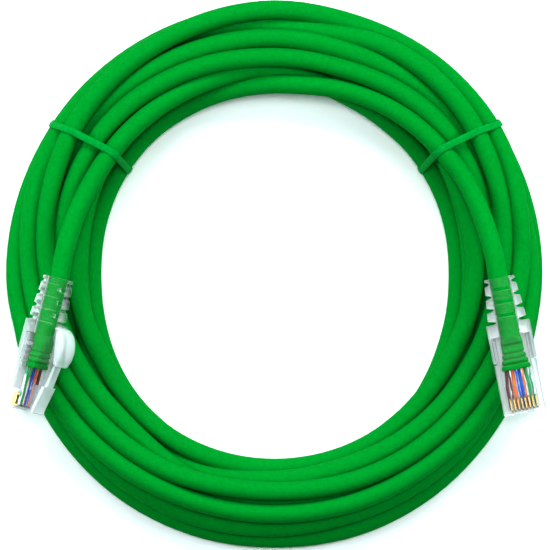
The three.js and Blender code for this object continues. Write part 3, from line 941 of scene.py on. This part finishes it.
def guard_outline(blunt, reach):
    """The guard's section: a crowned top, a cheek down each side and a crowned underside."""
    half = GUARD_HALF_WIDTH - blunt
    inner_half = half - CHEEK_THICKNESS
    foot = GUARD_THICKNESS / 2 - reach
    outline = crowned(half, GUARD_THICKNESS / 2 - blunt, CROWN)
    outline += [(half, foot), (inner_half, foot)]
    outline += crowned(-inner_half, -GUARD_THICKNESS / 2 + blunt, INNER_CROWN)
    outline += [(-inner_half, foot), (-half, foot)]
    return outline


def guard(bm):
    """The latch guard: an arched flap with a crowned top and two cheeks."""
    ridge = flowing([(y, z, 0) for y, z in GUARD_RIDGE], GUARD_RINGS)
    foot_y, foot_z = zip(*reversed(CHEEK_FOOT))
    rings = []
    for i, (y, z, _) in enumerate(ridge):
        before = ridge[max(i - 1, 0)]
        after = ridge[min(i + 1, len(ridge) - 1)]
        ahead = (after - before)[:2] / np.hypot(*(after - before)[:2])
        down = np.array([-ahead[1], ahead[0]])
        if down[1] > 0:
            down = -down
        blunt = GUARD_BLUNT if i in (0, len(ridge) - 1) else 0
        reach = max(GUARD_THICKNESS, z - np.interp(y, foot_y, foot_z))
        ring = []
        for x, out in guard_outline(blunt, reach):
            if out < -GUARD_THICKNESS:
                ring.append((x, y, z + out))
            else:
                ring.append((x, y - down[0] * out, z - down[1] * out))
        rings.append(ring)
    loft(bm, rings)


TEETH = 7
TOOTH_HEIGHT = 0.5
CLAMP_EDGE = 0.1
RIB_HALF_WIDTH = 4.2
RIB_MIDDLE = -1.95
RIB_RADII = (0.26, 0.34)  # along the plug and up


def clamp_bar(bm):
    width = 2 * CLAMP["half_width"] / TEETH
    upper = []
    for x in np.linspace(-CLAMP["half_width"], CLAMP["half_width"], 8 * TEETH + 1):
        wave = abs(((x + CLAMP["half_width"]) / width) % 1 - 0.5) * 2
        upper.append((x, CLAMP["high"] - TOOTH_HEIGHT * wave))
    lower = [(x, CLAMP["low"]) for x, _ in reversed(upper)]
    front, back = CLAMP["front"], CLAMP["back"]
    rings = []
    for y in (front, front + CLAMP_EDGE, back - CLAMP_EDGE, back):
        shrink = CLAMP_EDGE if y in (front, back) else 0
        ring = []
        for x, z in upper + lower:
            inward = 0.5 if z == CLAMP["low"] else -0.5
            ring.append((x * (1 - shrink / 4), y, z + shrink * inward))
        rings.append(ring)
    loft(bm, rings)


def housing_rib(bm, place):
    rings = []
    for x in np.linspace(-RIB_HALF_WIDTH, RIB_HALF_WIDTH, 12):
        ring = []
        for cos, sin in circle(12):
            ring.append((x, place + RIB_RADII[0] * cos, RIB_MIDDLE + RIB_RADII[1] * sin))
        rings.append(ring)
    loft(bm, rings)


def clamp_and_ribs(bm):
    """The clamp bar with its teeth, and the housing's three ribs in the jacket's grooves."""
    clamp_bar(bm)
    for place in RIDGES:
        housing_rib(bm, place)


def finish_node(node, material, bevel):
    """Gives a CAD node its finish and rounds its edges, by a bevel in millimetres."""
    piece = bpy.data.objects[node]
    if not piece.material_slots:
        piece.data.materials.append(material)
    for slot in piece.material_slots:
        slot.link = "OBJECT"
        slot.material = material
    rounding = piece.modifiers.new("rounded_edges", "BEVEL")
    rounding.width = bevel * MM
    rounding.segments = 2
    rounding.limit_method = "ANGLE"
    rounding.angle_limit = math.radians(35)


plug_pieces = []
for plug in PLUGS:
    matrix = plug_matrix(plug)
    end = mesh_piece(f"{plug}_jacket", jacket_end, matrix)
    place_piece(end, JACKET, "root", [f"{plug}_jacket_end"])
    plug_pieces.append(end)
    for index, (colour, *_) in enumerate(WIRES):
        wire = tube_curve(f"{plug}_conductor_{index + 1}", wire_points(index), WIRE_RADIUS * MM, 4)
        node = f"{plug}_wire_{index + 1}_{colour}"
        place_piece(wire, WIRE_MATERIALS[index], "root", [node], matrix)
        finish_node(f"{plug}_contact_{index + 1}", GOLD, 0.05)
    finish_node(f"{plug}_housing", HOUSING[plug], 0.18)
    finish_node(f"{plug}_load_bar", HOUSING[plug], 0.06)
    finish_node(f"{plug}_latch", GUARD[plug], 0.15)
    clamp = mesh_piece(f"{plug}_clamp_bar", clamp_and_ribs, matrix)
    place_piece(clamp, HOUSING[plug], "root", [f"{plug}_cable_clamp"])
    hood = mesh_piece(f"{plug}_clear_boot", boot, matrix)
    place_piece(hood, BOOT[plug], "root", [f"{plug}_boot"])
    flap = mesh_piece(f"{plug}_guard_flap", guard, matrix)
    place_piece(flap, GUARD[plug], f"{plug}_guard_body", [f"{plug}_latch_guard"])
    plug_pieces += [clamp, hood, flap]


# ---------- The ties ----------

STRAP_WIDTH = 2.1
STRAP_OUTLINE = [  # the strap's section: (part of half its width, height over the strands)
    (-1, 0.1),
    (-0.96, 0.3),
    (-0.8, 0.38),
    (-0.3, 0.42),
    (0, 0.5),
    (0.3, 0.42),
    (0.8, 0.38),
    (0.96, 0.3),
    (1, 0.1),
    (0.9, 0.02),
    (0, 0.0),
    (-0.9, 0.02),
]
# How far the strap strays to the side over the coil: (radius, degrees). It sets in between two heights.
STRAP_BOW = [(49, 0.9), (52, 0.1), (55, -0.8), (58, -1.1), (63, -0.6), (69, 0.6), (75, 1.9)]
BOW_BETWEEN = (0.5, 4)
STRAP_RINGS = 240
# The stub under the coil: two flat ends twisted round each other.
STUB_START = -0.6
STUB_LENGTH = 9
STUB_RADIUS = 55.9
STUB_HEIGHT = 0.85
STUB_TURN_IN = 4.6
STUB_TWISTS = 2.5
STUB_HALF_WIDTH = 0.48
STUB_HALF_THICKNESS = 0.2
STUB_APART = 0.24  # from the twist's axis to the middle of each end
STUB_RINGS = 60


def strands_at(angle):
    """(radius, height) of every strand where it crosses an angle."""
    crossings = np.flatnonzero(steps_along(len(radii)) == step_of(angle))
    return np.stack([radii[crossings], heights[crossings]], 1)


def strap_line(angle):
    """The strap's way round the strands: (point, outward direction) in the plane of its angle."""
    middles = strands_at(angle)
    line = []
    for normal in np.array(circle(STRAP_RINGS)):
        middle = middles[np.argmax(middles @ normal)]
        line.append((middle + normal * CABLE_DIAMETER / 2, normal))
    return line


def in_space(angle, point, aside):
    """A point of the plane at an angle, moved aside clockwise along the coil."""
    turn = math.radians(angle)
    out = Vector((math.sin(turn), math.cos(turn), 0))
    along = Vector((math.cos(turn), -math.sin(turn), 0))
    return out * point[0] + along * aside + Vector((0, 0, point[1]))


def add_strap(bm, angle):
    side = 1 if angle > 0 else -1
    rings = []
    for point, normal in strap_line(angle):
        bow = side * math.radians(np.interp(point[0], *zip(*STRAP_BOW))) * point[0]
        bow *= smoothstep(point[1], *BOW_BETWEEN)
        ring = []
        for part, lift in STRAP_OUTLINE:
            place = point + normal * lift
            ring.append(in_space(angle, place, bow + part * STRAP_WIDTH / 2))
        rings.append(ring)
    loft(bm, rings, closed=True)


def add_stub_end(bm, angle, first):
    """One of the stub's two twisted ends, which starts turned by the angle first, in radians."""
    rings = []
    for along in np.linspace(STUB_START, STUB_LENGTH, STUB_RINGS):
        twist = first + along / STUB_LENGTH * STUB_TWISTS * 2 * math.pi
        drift = STUB_RADIUS - math.sin(math.radians(STUB_TURN_IN)) * along
        ring = []
        for cos, sin in circle(10):
            wide = STUB_HALF_WIDTH * cos
            thick = STUB_APART + STUB_HALF_THICKNESS * sin
            x = drift + wide * math.cos(twist) - thick * math.sin(twist)
            z = STUB_HEIGHT + wide * math.sin(twist) + thick * math.cos(twist)
            ring.append(in_space(angle, (x, z), along))
        rings.append(ring)
    loft(bm, rings)


def strap_and_stub(angle):
    def build(bm):
        add_strap(bm, angle)
        for first in (0, math.pi):
            add_stub_end(bm, angle, first)

    return build


for number, angle in enumerate(TIE_ANGLES, 1):
    strap = mesh_piece(f"tie_strap_{number}", strap_and_stub(angle))
    place_piece(strap, TIE, "root", [f"twist_tie_{number}"])

# ---------- The floor, the light and the camera ----------

bpy.ops.mesh.primitive_plane_add(size=4, location=(0, 0, 0))
floor = bpy.context.object
floor.name = "floor"
pale = new_material("floor", Base_Color=(0.97, 0.97, 0.97, 1), Roughness=0.9, Specular_IOR_Level=0.1)
floor.data.materials.append(pale)

scene = bpy.context.scene
scene.world = bpy.data.worlds.new("studio")
scene.world.use_nodes = True
background = scene.world.node_tree.nodes["Background"]
background.inputs["Color"].default_value = (1, 1, 1, 1)
background.inputs["Strength"].default_value = 0.05

WHITE = (1, 1, 1)
COOL = (0.78, 0.95, 1.0)
LIGHTS = [  # (name, place, width and height in metres, watts, colour), each aimed at the coil's centre
    ("key_light", (0, 0.8, 0.75), (0.9, 0.5), 9, WHITE),
    ("top_light", (0, 0.12, 1.3), (0.3, 0.3), 5.5, WHITE),
    ("left_light", (-0.42, 0.05, 0.3), (0.25, 0.4), 1.5, COOL),
    ("right_light", (0.42, 0.05, 0.3), (0.25, 0.4), 1.5, COOL),
    ("front_light", (0, -0.8, 0.9), (0.6, 0.3), 0.15, WHITE),
]
for name, place, size, power, colour in LIGHTS:
    light = bpy.data.lights.new(name, "AREA")
    light.shape = "RECTANGLE"
    light.size, light.size_y = size
    light.energy = power
    light.color = colour
    lamp = bpy.data.objects.new(name, light)
    scene.collection.objects.link(lamp)
    lamp.location = place
    lamp.rotation_euler = (-Vector(place)).to_track_quat("-Z", "Y").to_euler()
    lamp.visible_camera = False

CAMERA_HEIGHT = 0.94
camera_data = bpy.data.cameras.new("camera")
camera_data.sensor_width = 36
camera_data.lens = 217
camera = bpy.data.objects.new("camera", camera_data)
camera.location = (0, 0, CAMERA_HEIGHT)
scene.collection.objects.link(camera)
bpy.context.scene.camera = camera
scene.view_settings.view_transform = "Standard"
# A little more contrast than the plain transform gives, as in a product picture.
scene.view_settings.gamma = 0.78
scene.view_settings.exposure = 0.38
# Light crosses up to eight clear walls on its way into a plug and eight on its way out.
scene.cycles.transparent_max_bounces = 24
